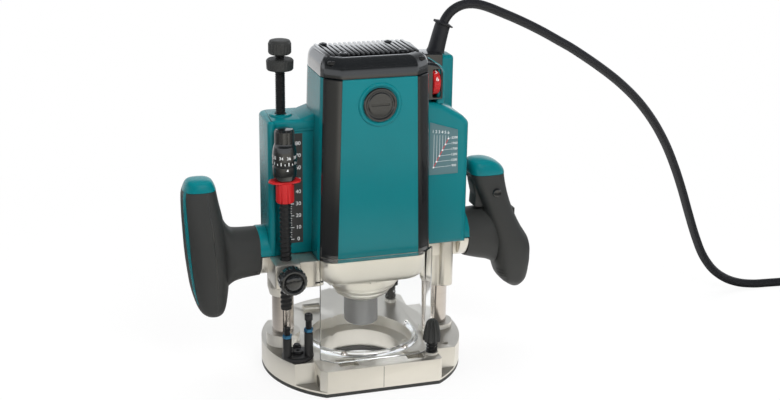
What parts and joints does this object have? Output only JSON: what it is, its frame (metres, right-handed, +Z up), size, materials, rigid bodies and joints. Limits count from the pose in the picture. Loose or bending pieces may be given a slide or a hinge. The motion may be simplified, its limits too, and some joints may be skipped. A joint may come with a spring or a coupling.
{
  "type": "plunge router",
  "caption": "Corded plunge router on a round base with a flat front edge, two columns, side grips, a turret depth stop, a clear dust shield and a coiled mains lead.",
  "frame": {"origin": "on the cutter's axis, at the underside of the sole plate", "axes": "+Z up along the cutter's axis, -Y towards the base's flat front edge, +X towards the trigger grip"},
  "size_m": [0.7891, 0.212, 0.2954],
  "materials": {
    "cast_alloy": "cast aluminium, satin",
    "teal_shell": "moulded glass-filled nylon, satin",
    "black_plastic": "moulded black plastic",
    "gloss_black": "glossy black plastic",
    "steel": "ground steel",
    "black_steel": "blackened steel",
    "grey_steel": "turned steel",
    "bronze": "sintered bronze",
    "copper_core": "iron laminations with varnished copper windings",
    "carbon": "carbon",
    "clear_plastic": "clear polycarbonate",
    "red_plastic": "red plastic",
    "blue_steel": "blued steel",
    "label_grey": "printed label",
    "cord_rubber": "black rubber sheath"
  },
  "bodies": {
    "base": {"base_plate": "black_plastic", "base_plate_screws": "steel", "base_casting": "cast_alloy", "columns": "steel", "column_plugs": "steel", "left_column_spring": "steel", "right_column_spring": "steel", "height_rod": "black_steel", "height_knob": "black_plastic", "dust_shield": "clear_plastic", "dust_shield_screws": "steel", "rod_screw_springs": "black_steel", "cord_lead": "cord_rubber", "cord_coil": "cord_rubber", "plug_body": "cord_rubber", "plug_pins": "steel"},
    "front_screw": {"front_rod_screw": "black_plastic"},
    "rear_screw": {"rear_rod_screw": "black_plastic"},
    "lift_nut": {"height_nut": "black_plastic"},
    "turret": {"stop_turret": "black_steel", "turret_pivot": "steel", "stop_bolts": "black_steel", "stop_lock_nuts": "blue_steel"},
    "motor_unit": {"gear_housing": "cast_alloy", "column_bushes": "bronze", "lower_bearing": "steel", "bearing_retainer": "steel", "retainer_screws": "steel", "motor_housing": "teal_shell", "corner_strips": "gloss_black", "top_cover": "gloss_black", "top_cover_screws": "black_steel", "stator": "copper_core", "upper_bearing": "steel", "brush_holders": "bronze", "carbon_brushes": "carbon", "brush_caps": "black_plastic", "scale_plate": "black_plastic", "speed_label": "label_grey", "left_grip": "black_plastic", "left_grip_cap": "teal_shell", "right_grip": "black_plastic", "right_grip_cap": "teal_shell", "grip_bolts": "steel", "switch_body": "black_plastic", "cord_guard": "cord_rubber"},
    "rotor": {"spindle": "steel", "armature_core": "copper_core", "commutator": "bronze", "fan": "black_plastic", "collet_nut": "grey_steel"},
    "pole": {"stop_pole": "black_steel", "depth_pointer": "red_plastic"},
    "dial": {"depth_dial": "black_plastic"},
    "pole_clamp": {"pole_clamp_knob": "black_plastic"},
    "speed_wheel": {"speed_dial": "red_plastic"},
    "trigger": {"trigger": "black_plastic"},
    "lock_on": {"lock_button": "black_plastic"},
    "plunge_lock": {"lock_lever": "black_plastic"},
    "spindle_lock": {"shaft_lock": "black_plastic"}
  },
  "joints": [
    {"name": "plunge", "type": "slide", "parent": "base", "child": "motor_unit", "axis": [0, 0, 1], "range_m": [-0.0335, 0.0365], "deforming": ["left_column_spring", "right_column_spring", "cord_lead"]},
    {"name": "spindle_spin", "type": "hinge", "parent": "motor_unit", "child": "rotor", "pos_m": [0, 0, 0.15], "axis": [0, 0, 1], "continuous": true},
    {"name": "turret_turn", "type": "hinge", "parent": "base", "child": "turret", "pos_m": [-0.06334, -0.03493, 0.0248], "axis": [0, 0, 1], "continuous": true},
    {"name": "front_screw_turn", "type": "hinge", "parent": "base", "child": "front_screw", "pos_m": [0.0445, -0.057, 0.03], "axis": [0, 0, 1], "continuous": true},
    {"name": "rear_screw_turn", "type": "hinge", "parent": "base", "child": "rear_screw", "pos_m": [0.0445, 0.057, 0.03], "axis": [0, 0, 1], "continuous": true},
    {"name": "lift_nut_slide", "type": "slide", "parent": "base", "child": "lift_nut", "axis": [0, 0, 1], "range_m": [-0.0365, 0.003]},
    {"name": "pole_slide", "type": "slide", "parent": "motor_unit", "child": "pole", "axis": [0, 0, 1], "range_m": [0, 0.03]},
    {"name": "dial_turn", "type": "hinge", "parent": "pole", "child": "dial", "pos_m": [-0.071, -0.0285, 0.18], "axis": [0, 0, 1], "continuous": true},
    {"name": "pole_clamp_turn", "type": "hinge", "parent": "motor_unit", "child": "pole_clamp", "pos_m": [-0.071, -0.045, 0.097], "axis": [0, 1, 0], "range_deg": [0, 180]},
    {"name": "speed_turn", "type": "hinge", "parent": "motor_unit", "child": "speed_wheel", "pos_m": [0.0526, -0.022, 0.244], "axis": [1, 0, 0], "range_deg": [-200, 0]},
    {"name": "trigger_press", "type": "slide", "parent": "motor_unit", "child": "trigger", "axis": [1, 0, 0], "range_m": [0, 0.005], "stiffness_N_per_m": 600},
    {"name": "lock_on_press", "type": "slide", "parent": "motor_unit", "child": "lock_on", "axis": [0, 1, 0], "range_m": [0, 0.003], "stiffness_N_per_m": 500},
    {"name": "plunge_lock_turn", "type": "hinge", "parent": "motor_unit", "child": "plunge_lock", "pos_m": [-0.0673, 0.024, 0.097], "axis": [0, 1, 0], "range_deg": [-40, 0]},
    {"name": "spindle_lock_press", "type": "slide", "parent": "motor_unit", "child": "spindle_lock", "axis": [0, -1, 0], "range_m": [0, 0.004], "stiffness_N_per_m": 600}
  ]
}
